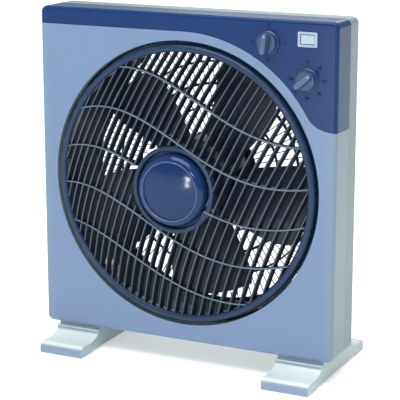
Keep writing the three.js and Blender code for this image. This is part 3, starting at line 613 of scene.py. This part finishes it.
def casing():
    """The front casing and the control cover, cut from one moulding."""
    outer = front_solid("front_casing", 0, SEAM_Y)
    combine(outer, [
        front_solid("tool", WALL, SEAM_Y + 1),
        rod("tool", OPENING, FRONT_Y - 1, FRONT_Y + WALL + 1, segments=WIDE_ROUND),
    ])
    panel = outer.copy()
    panel.data = outer.data.copy()
    SCENE.collection.objects.link(panel)
    panel.name = "control_cover"

    lip = turned("tool", [
        (OPENING + WALL, FRONT_Y + WALL - 0.5),
        (OPENING, FRONT_Y + WALL - 0.5),
        (OPENING, FRONT_Y + LIP_DEPTH),
        (OPENING + WALL, FRONT_Y + LIP_DEPTH),
    ], WIDE_ROUND)
    cut_from, cut_to = FRONT_Y - 2, SEAM_Y + OVERSHOOT
    combine(outer, [extruded("tool", panel_outline(PANEL_GAP), cut_from, cut_to)])
    combine(outer, [lip], "UNION")
    bevel(outer, EDGE_BREAK, 2)
    smooth(outer)
    done(outer, "body", BODY, ["front_shell"])

    combine(panel, [extruded("tool", panel_outline(0), cut_from, cut_to)], "INTERSECT")
    lo, hi = mm_box("louver_switch_body")
    tools = [rod("tool", SHAFT_HOLE, FRONT_Y - 1, FRONT_Y + WALL + 1, *knob_spot(node), 32)
             for node in ("speed_knob", "timer_knob")]
    tools.append(box("tool", lo.x + SWITCH_MARGIN, hi.x - SWITCH_MARGIN,
                     FRONT_Y - 1, FRONT_Y + WALL + 1,
                     lo.z + SWITCH_MARGIN, hi.z - SWITCH_MARGIN))
    combine(panel, tools)
    bevel(panel, EDGE_BREAK, 2)
    smooth(panel)
    done(panel, "body", PANEL, ["control_panel"])


def rear_solid(name, inset, y0):
    """The rear casing's block from y0: a rim as wide as the front casing, then a step in."""
    outline = rounded(-HALF + inset, HALF - inset, BOTTOM_Z + inset, TOP_Z - inset,
                      CORNER - inset / 2)
    rim = extruded(name, outline, y0, STEP_Y - inset)
    half = HALF - REAR_INSET
    top = TOP_Z - REAR_INSET
    outline = rounded(-half + inset, half - inset, BOTTOM_Z + inset, top - inset, REAR_CORNER)
    rings = [[(x, y0, z) for x, z in outline]]
    for a in angles(90, 10):
        d = inset + EDGE * (1 - math.cos(a))
        y = REAR_Y - inset - EDGE + EDGE * math.sin(a)
        outline = rounded(-half + d, half - d, BOTTOM_Z + d, top - d, REAR_CORNER - (d - inset))
        rings.append([(x, y, z) for x, z in outline])
    return combine(rim, [loft("tool", rings)], "UNION")


def rear_casing():
    shell = rear_solid("rear_casing", 0, SEAM_Y + SEAM_GAP)
    y0, y1 = REAR_Y - WALL - 1, REAR_Y + 1
    combine(shell, [
        rear_solid("tool", WALL, SEAM_Y),
        rod("tool", GUARD_OPENING, y0, y1, segments=WIDE_ROUND),
        rod("tool", GLAND_HOLE, y0, y1, *knob_spot("cord_gland"), 32),
    ])
    bevel(shell, 0.4, 2)
    smooth(shell)
    done(shell, "body", SHELL, ["rear_shell"])


# ---------------------------------------------------------------- rear guard
def guard():
    """Fine radial spokes on concentric rings round the motor's plate."""
    back = GUARD_HI.y
    spokes = []
    zones = ((GUARD_PLATE - 1, GUARD_MIDDLE), (GUARD_MIDDLE - 1, GUARD_OPENING + 0.5))
    for ends, count in zip(zones, GUARD_CELLS):
        for i in range(count):
            a = 2 * math.pi * i / count
            c, s = math.cos(a), math.sin(a)
            section = arc(0, 0, SPOKE_RADIUS, 0, 360, 8)[:-1]
            spokes.append([[(r * c - u * s, back - 1.2 + v, CENTRE_Z + r * s + u * c)
                            for u, v in section] for r in ends])
    spokes = bundle("guard_spokes", spokes)
    smooth(spokes, 60, False)
    done(spokes, "body", BLACK)

    plate = turned("guard_plate", [
        (0, GUARD_LO.y), (GUARD_PLATE - 0.8, GUARD_LO.y), (GUARD_PLATE, GUARD_LO.y + 0.8),
        (GUARD_PLATE, back - 1.2), (GUARD_PLATE - 1.2, back), (GUARD_PLATE - 6, back),
        (GUARD_PLATE - 7.5, back - 1), (GUARD_PLATE - 20, back - 1), (0, back - 1)])
    smooth(plate)
    done(plate, "body", BLACK, ["rear_guard"])

    for index, (radius, width) in enumerate(GUARD_RINGS):
        ring = turned(f"guard_ring_{index + 1}", [
            (radius - width, back - 2.6), (radius + width, back - 2.6),
            (radius + width, back - 0.7), (radius + width - 0.5, back - 0.2),
            (radius - width + 0.5, back - 0.2), (radius - width, back - 0.7)], 120)
        smooth(ring)
        done(ring, "body", BLACK)


# ---------------------------------------------------------------- louver grille
def dome_y(radius):
    """How far forward the grille's dome is at a radius."""
    share = min(radius / BEAD_INNER, 1) ** DOME_POWER
    return FRONT_Y - 1 - DOME_RISE * (1 - share)


def grille_point(t, s, y):
    """A point of the flat grille drawing, leaned sideways and turned to its angle."""
    x = t + SLAT_LEAN * (y - FRONT_Y)
    c, n = math.cos(SLAT_TURN), math.sin(SLAT_TURN)
    return (x * c + s * n, y, CENTRE_Z - x * n + s * c)


def chord(radius, t):
    """Half the length of a circle's chord at distance t from its middle."""
    return math.sqrt(max(radius * radius - t * t, 0))


def rib_at(index, t):
    """The S-shaped line of a cross rib."""
    share = t / BEAD_INNER
    middle = (index - (RIBS - 1) / 2) * RIB_PITCH
    return middle - RIB_SLOPE * share + RIB_CURL * share ** 3


def strip(path, half, depth, proud):
    """Rings of a thin strip that stands on edge; path holds (t, s, across_t, across_s)."""
    rings = []
    for t, s, ct, cs in path:
        y = dome_y(math.hypot(t, s)) - proud
        ring = []
        for u, v in ((-half, depth), (-half, 0.7), (-half * 0.6, 0.2), (0, 0),
                     (half * 0.6, 0.2), (half, 0.7), (half, depth)):
            ring.append(grille_point(t + ct * u, s + cs * u, y + v))
        rings.append(ring)
    return rings


def slats():
    hub = HUB - HUB_BITE
    groups = []
    for k in range(SLATS):
        t = (k - (SLATS - 1) / 2) * SLAT_PITCH
        rim = chord(GRATING_RADIUS, t)
        spans = [(-rim, rim)]
        if abs(t) < hub:
            spans = [(-rim, -chord(hub, t)), (chord(hub, t), rim)]
        for low, high in spans:
            steps = max(6, int((high - low) / SLAT_STEP))
            path = [(t, low + (high - low) * i / steps, 1, 0) for i in range(steps + 1)]
            groups.append(strip(path, SLAT_THICK / 2, SLAT_DEPTH, 0))
    piece = bundle("grille_slats", groups)
    smooth(piece, STRIP_SHARP_ANGLE, False)
    done(piece, "louver", SLAT)


def ribs():
    groups = []
    for k in range(RIBS):
        runs = [[]]
        for t in range(-RIB_REACH, RIB_REACH + 1):
            s = rib_at(k, t)
            if HUB - HUB_BITE < math.hypot(t, s) < GRATING_RADIUS:
                slope = rib_at(k, t + 0.5) - rib_at(k, t - 0.5)
                size = math.hypot(1, slope)
                runs[-1].append((t, s, -slope / size, 1 / size))
            elif runs[-1]:
                runs.append([])
        groups += [strip(run, RIB_WIDTH / 2, SLAT_DEPTH, RIB_PROUD) for run in runs if len(run) > 2]
    piece = bundle("grille_ribs", groups)
    smooth(piece, STRIP_SHARP_ANGLE, False)
    done(piece, "louver", RIB)


def rim_bead():
    """The grille's round bead, with the flange behind it that runs in the rollers."""
    middle = (BEAD_OUTER + BEAD_INNER) / 2
    bead = BEAD_WIDTH / 2
    flange_back = FLANGE_Y + FLANGE_THICK
    profile = [(BEAD_OUTER - 2.5, BEAD_Y + 4), (BEAD_OUTER, BEAD_Y + 2)]
    profile += [(middle + bead * math.cos(a), BEAD_Y - bead * math.sin(a)) for a in angles(180, 12)]
    profile += [(BEAD_INNER, BEAD_Y + 3), (BEAD_OUTER - 5, BEAD_Y + 4.5),
                (BEAD_OUTER - 5, flange_back), (FLANGE_RADIUS, flange_back),
                (FLANGE_RADIUS, FLANGE_Y), (BEAD_OUTER - 2.5, FLANGE_Y)]
    piece = turned("grille_rim", profile, WIDE_ROUND)
    smooth(piece)
    done(piece, "louver", GRILLE, ["louver_grille"])


def hub_ring():
    front = dome_y(HUB)
    floor = front + HUB_RECESS
    inner = HUB - HUB_WALL
    piece = turned("grille_hub", [
        (0, floor), (inner - 0.6, floor), (inner, floor - 0.6), (inner, front + 0.9),
        (inner + 0.9, front), (HUB - 1.6, front), (HUB - 0.4, front + 0.5), (HUB, front + 1.6),
        (HUB, floor + 2), (0, floor + 2)], 128)
    smooth(piece)
    done(piece, "louver", GRILLE)


def hub_cap():
    """The cap: a rounded roll, a thin pale ring that is a painted highlight on the disc's rim, and
    a shallow domed disc inside it.
    """
    front = dome_y(HUB)
    radius = CAP_HI.x
    face = CAP_LO.y
    disc = radius - CAP_RIM
    rise = front + 2.4 - face
    profile = [(0, CAP_HI.y), (radius - 2.0, CAP_HI.y), (radius - 1.6, front + 3.4)]
    profile += [(disc + CAP_ROLL * math.cos(a), face + rise * (1 - math.sin(a)))
                for a in angles(90, 12)[:-1]]
    profile += [(disc - 0.2, face - 0.25), (disc - 0.7, face - 0.25), (disc - 1.2, face + 0.2),
                (disc - 1.7, face + 1.2)]
    profile += [((disc - 2.4) * math.cos(a), face + 1.6 - CAP_DOME * math.sin(a) ** 2)
                for a in angles(90, 10)[:-1]]
    profile += [(0, face - 1.2)]
    piece = turned("grille_badge", profile, 128)
    smooth(piece)
    done(piece, "louver", CAP, ["louver_cap"])

    # painted highlight: a pale ring round the disc's rim where its edge catches the light
    lip = turned("grille_badge_highlight", [
        (disc - 1.5, face + 0.3), (disc - 0.3, face + 0.2), (disc - 0.3, face - 0.25),
        (disc - 0.55, face - 0.45), (disc - 1.0, face - 0.45), (disc - 1.25, face - 0.25)], 128)
    smooth(lip)
    done(lip, "louver", CAP_HIGHLIGHT)


# ---------------------------------------------------------------- impeller
def blade_section(share, turn):
    """A blade's cross-section at a share of the way from root to tip, as a ring of points."""
    radius = BLADE_ROOT + share * (BLADE_TIP - BLADE_ROOT)
    width = 55 + share * 50 - 20 * share ** 6
    pitch = math.radians(26 - 12 * share)
    lead = turn + BLADE_SWEEP * share
    camber = width * 0.06
    c, s = math.cos(pitch), math.sin(pitch)
    upper, lower = [], []
    for j in range(BLADE_CHORD_STEPS + 1):
        u = -0.5 + j / BLADE_CHORD_STEPS
        along = u * width
        bulge = camber * (1 - 4 * u * u)
        thin = BLADE_HALF * (1 - 0.55 * abs(2 * u) ** 3)
        for side, row in ((thin, upper), (-thin, lower)):
            y = BLADE_Y + along * s - (bulge + side) * c
            angle = lead + (along * c + (bulge + side) * s) / radius
            row.append((radius * math.cos(angle), y, CENTRE_Z + radius * math.sin(angle)))
    return upper + lower[::-1]


def impeller():
    groups = []
    for b in range(BLADES):
        turn = 2 * math.pi * b / BLADES + BLADE_START
        groups.append([blade_section(i / BLADE_STEPS, turn) for i in range(BLADE_STEPS + 1)])
    blades = bundle("fan_vanes", groups)
    smooth(blades, 60, False)
    done(blades, "fan_rotor", BLADE)

    front, rear = BLADE_LO.y, BLADE_HI.y
    hub = turned("fan_hub", [
        (4.3, front + 5), (12, front + 5), (13.5, front + 2), (14.5, front + 0.4), (16, front),
        (38, front + 2), (42.4, front + 4), (44.8, front + 7), (BLADE_HUB, front + 10),
        (BLADE_HUB, rear - 0.5), (45.0, rear), (43, rear), (43, front + 10), (12, front + 9),
        (10, front + 18), (4.3, front + 18)])
    smooth(hub)
    done(hub, "fan_rotor", BLADE, ["fan_blade"])


# ---------------------------------------------------------------- controls
def knob(node, body, turn):
    """A skirted knob with a raised grip and a pointer dot, its grip turned by turn."""
    x, z = knob_spot(node)
    lo, hi = mm_box(node)
    radius = (hi.x - lo.x) / 2
    base = hi.y
    front = base - KNOB_DEPTH
    skirt = turned(node + "_disc", [
        (0, base), (radius, base), (radius, base - 1.2), (radius - 0.5, base - 1.9),
        (radius - 1.1, base - 2.2), (radius - 1.5, front + 1.3), (radius - 1.9, front + 0.5),
        (radius - 2.6, front + 0.1), (radius - 3.4, front), (0, front)], 72, x, z)
    smooth(skirt)
    done(skirt, body, KNOB, [node])

    c, s = math.cos(turn), math.sin(turn)
    tip = radius - GRIP_HALF - 0.5
    outline = arc(0, tip, GRIP_HALF - 0.7, 0, 180, 12) + arc(0, -tip, GRIP_HALF, 180, 360, 12)
    rings = []
    for shrink, y in ((0, front + 1), (0, lo.y + 1.2), (0.35, lo.y + 0.4), (0.95, lo.y)):
        ring = []
        for px, pz in outline:
            keep = 1 - shrink / max(math.hypot(px, pz), 1)
            qx, qz = px * keep, pz * keep
            ring.append((x + qx * c + qz * s, y, z - qx * s + qz * c))
        rings.append(ring)
    grip = loft(node + "_grip", rings)
    smooth(grip)
    done(grip, body, GRIP)

    reach = tip - 0.5
    mark = rod(node + "_mark", 0.9, lo.y - 0.12, lo.y + 0.5, x + reach * s, z + reach * c, 20)
    smooth(mark)
    done(mark, body, DOT)


def printed(name, text, size, x, z):
    """Small printed characters on the control cover."""
    curve = bpy.data.curves.new(name, "FONT")
    curve.body = text
    curve.size = size * MM
    curve.align_x = "CENTER"
    curve.align_y = "CENTER"
    curve.extrude = 0.05 * MM
    curve.offset = 0.12 * MM
    obj = bpy.data.objects.new(name, curve)
    SCENE.collection.objects.link(obj)
    obj.rotation_euler = (math.radians(90), 0, 0)
    obj.location = (x * MM, (FRONT_Y - 0.06) * MM, z * MM)
    curve.materials.append(PRINT)
    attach(obj, "body")


def dial(node, marks):
    """Tick marks round a knob, with their numbers further out; marks holds (degrees, text)."""
    x, z = knob_spot(node)
    section = ((-TICK_HALF, FRONT_Y + 0.2), (TICK_HALF, FRONT_Y + 0.2),
               (TICK_HALF, FRONT_Y - 0.1), (-TICK_HALF, FRONT_Y - 0.1))
    number_radius = DIAL_RADIUS + NUMBER_OUT
    groups = []
    for index, (angle, text) in enumerate(marks):
        a = math.radians(angle)
        s, c = math.sin(a), math.cos(a)
        groups.append([[(x + r * s + u * c, y, z + r * c - u * s) for u, y in section]
                       for r in (DIAL_RADIUS + 0.4, DIAL_RADIUS + 1.6)])
        if text:
            printed(f"{node}_number_{index + 1}", text, NUMBER_SIZE,
                    x + number_radius * s, z + number_radius * c)
    ticks = bundle(node + "_ticks", groups)
    done(ticks, "body", PRINT)


def rocker():
    """The switch's frame and housing, and its rocking key."""
    lo, hi = mm_box("louver_switch_body")
    x, z = (lo.x + hi.x) / 2, (lo.z + hi.z) / 2
    surround = extruded("switch_frame", rounded(lo.x, hi.x, lo.z, hi.z, 1.6, 6),
                        lo.y, FRONT_Y - 0.02)
    combine(surround, [box("tool", lo.x + 1.2, hi.x - 1.2, FRONT_Y - 1, hi.y,
                           lo.z + 1.2, hi.z - 1.2)], "UNION")
    combine(surround, [box("tool", x - KEY_HALF, x + KEY_HALF, lo.y - 1, FRONT_Y + 9,
                           z - 5.45, z + 5.45)])
    bevel(surround, 0.5, 3)
    smooth(surround)
    done(surround, "body", PALE, ["louver_switch_body"])

    key_lo, key_hi = mm_box("louver_switch_rocker")
    half = (key_hi.z - key_lo.z) / 2
    pivot_y = FRONT_Y + 1
    c, s = math.cos(KEY_TILT), math.sin(KEY_TILT)
    outline = [(-7.1, -2.9), (-5, -2.35), (-2.5, -1.95), (0, -1.8), (2.5, -1.95), (5, -2.35),
               (7.1, -2.9), (6.9, -1.5), (4.7, 3.9), (-4.7, 3.9), (-6.9, -1.5)]
    key = loft("switch_key", [
        [(x + px * c - py * s, pivot_y + px * s + py * c, z + h) for px, py in outline]
        for h in (-half, half)])
    bevel(key, 0.4, 2)
    smooth(key)
    done(key, "louver_switch", KEY, ["louver_switch_rocker"])


# ---------------------------------------------------------------- feet
def foot_profile(tip, sole, top, sign):
    """One half of the foot's side outline, from the sole at its tip up to the saddle."""
    flat = tip - NOSE
    points = [(tip, sole), (tip, NOSE_TOP - NOSE)]
    points += [(flat + NOSE * math.cos(a), NOSE_TOP - NOSE + NOSE * math.sin(a))
               for a in angles(90, 6)[1:]]
    points += bezier((flat, 13.0), (tip - 12, 13.0), (tip - 17, 11.9), (tip - 23, 12.6), 8)
    points += bezier((tip - 23, 12.6), (tip - 29, 13.4), (LEDGE_Y + 3.4, 15.5),
                     (LEDGE_Y + 2.6, 19.4), 10)
    points += bezier((LEDGE_Y + 2.6, 19.4), (LEDGE_Y + 2.1, 21.4), (LEDGE_Y + 1.2, LEDGE_Z),
                     (LEDGE_Y - 0.6, LEDGE_Z), 5)
    points += [(LEDGE_Y - 4, LEDGE_Z), (LEDGE_Y - 4, top)]
    return [(-sign * y, z) for y, z in points]


def foot(node, name):
    """A long moulded foot: low rounded noses, a saddle under the body and a hollow underside."""
    lo, hi = mm_box(node)
    tip, sole = hi.y, lo.z
    outline = foot_profile(tip, sole, hi.z, 1) + foot_profile(tip, sole, hi.z, -1)[::-1]
    outline += [(tip - 25, sole), (tip - 25, sole + 2), (-tip + 25, sole + 2), (-tip + 25, sole)]
    piece = loft(name, [[(x, y, z) for y, z in outline] for x in (lo.x, hi.x)])
    combine(piece, [box("tool", lo.x + 3, hi.x - 3, -LEDGE_Y, LEDGE_Y, -1, 16)])
    bevel(piece, FOOT_BEVEL, 5)
    smooth(piece)
    done(piece, "body", FOOT, [node])


# ---------------------------------------------------------------- CAD nodes that stay
KEPT = {
    "guide_roller_": BLACK, "roller_pin_": STEEL, "drive_wheel": RUBBER, "louver_motor": STEEL,
    "blade_nut": BLACK, "motor_": STEEL, "front_bush": BRASS, "rear_bush": BRASS,
    "speed_switch": BLACK, "timer_body": BLACK, "speed_switch_shaft": BRASS,
    "timer_shaft": BRASS, "rocker_pin": STEEL,
    "foot_pad_": RUBBER, "foot_screw_": STEEL, "shell_screw_": STEEL, "panel_screw_": STEEL,
    "cord_gland": BLACK, "terminal_block": PALE, "capacitor": BLACK,
}


def keep_nodes():
    """Gives the CAD nodes that stay their materials, by the longest name that fits."""
    for name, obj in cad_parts.items():
        matches = [key for key in KEPT if name.startswith(key)]
        if not matches:
            continue
        material = KEPT[max(matches, key=len)]
        obj.data.materials.clear()
        obj.data.materials.append(material)
        for polygon in obj.data.polygons:
            polygon.material_index = 0


# ---------------------------------------------------------------- camera, floor and light
def set_camera():
    data = bpy.data.cameras.new("camera")
    data.sensor_width = 36
    data.lens = data.sensor_width * FOCAL_PIXELS / PHOTO_WIDTH
    data.shift_y = CAMERA_SHIFT
    data.clip_end = 50
    camera = bpy.data.objects.new("camera", data)
    SCENE.collection.objects.link(camera)
    SCENE.camera = camera
    level = math.cos(CAMERA_ELEVATION)
    ahead = Vector((-math.sin(CAMERA_AZIMUTH) * level, math.cos(CAMERA_AZIMUTH) * level,
                    -math.sin(CAMERA_ELEVATION)))
    camera.location = CAMERA_PLACE
    camera.rotation_euler = ahead.to_track_quat("-Z", "Y").to_euler()


def set_floor():
    """White paper that glows a little, and more the further away it is."""
    h = FLOOR_HALF
    mesh = bpy.data.meshes.new("floor")
    mesh.from_pydata([(-h, -h, 0), (h, -h, 0), (h, h, 0), (-h, h, 0)], [], [(0, 1, 2, 3)])
    floor = bpy.data.objects.new("floor", mesh)
    SCENE.collection.objects.link(floor)
    paint = Paint("floor_paper", Roughness=0.9, Emission_Color=(1, 1, 1, 1))
    far = paint.node("ShaderNodeVectorMath", operation="LENGTH")
    paint.link(paint.place, far.inputs[0])
    glow = paint.spread(far.outputs["Value"], 0.35, 1.0, 0.9, 4.0)
    paint.link(glow, paint.shader.inputs["Emission Strength"])
    tone = paint.spread(paint.noise(3, 2), 0, 1)
    paint.colour(paint.blend(tone, (0.86, 0.865, 0.87, 1), (0.9, 0.905, 0.91, 1)))
    mesh.materials.append(paint.material)


def set_world():
    """Plain white behind everything, and a softer light on the object."""
    world = bpy.data.worlds.new("studio")
    SCENE.world = world
    world.use_nodes = True
    tree = world.node_tree
    soft = tree.nodes["Background"]
    soft.inputs["Color"].default_value = (0.90, 0.96, 1.0, 1)
    soft.inputs["Strength"].default_value = 0.5
    white = tree.nodes.new("ShaderNodeBackground")
    white.inputs["Color"].default_value = (1, 1, 1, 1)
    white.inputs["Strength"].default_value = 1.05
    rays = tree.nodes.new("ShaderNodeLightPath")
    choice = tree.nodes.new("ShaderNodeMixShader")
    tree.links.new(rays.outputs["Is Camera Ray"], choice.inputs[0])
    tree.links.new(soft.outputs[0], choice.inputs[1])
    tree.links.new(white.outputs[0], choice.inputs[2])
    tree.links.new(choice.outputs[0], tree.nodes["World Output"].inputs["Surface"])


def set_lights():
    for name, place, aim, size, power, colour in LIGHTS:
        data = bpy.data.lights.new(name, "AREA")
        data.shape = "SQUARE"
        data.size = size
        data.energy = power
        data.color = colour
        lamp = bpy.data.objects.new(name, data)
        lamp.location = place
        lamp.rotation_euler = (Vector(aim) - Vector(place)).to_track_quat("-Z", "Y").to_euler()
        SCENE.collection.objects.link(lamp)


set_camera()
set_floor()
set_world()
set_lights()
SCENE.view_settings.view_transform = "Standard"
SCENE.view_settings.look = "None"

casing()
rear_casing()
guard()
slats()
ribs()
rim_bead()
hub_ring()
hub_cap()
impeller()
knob("speed_knob", "speed_control", math.radians(8))
knob("timer_knob", "timer_control", math.radians(50))
dial("speed_knob", [(0, "0"), (90, "1"), (135, ""), (180, "2"), (225, ""), (270, "3")])
dial("timer_knob", [(0, "0"), (45, "15"), (90, "30"), (135, "45"), (180, "60"), (225, "90"),
                    (270, "120"), (315, "")])
rocker()
foot("left_foot", "foot_left")
foot("right_foot", "foot_right")
keep_nodes()

bpy.context.view_layer.update()
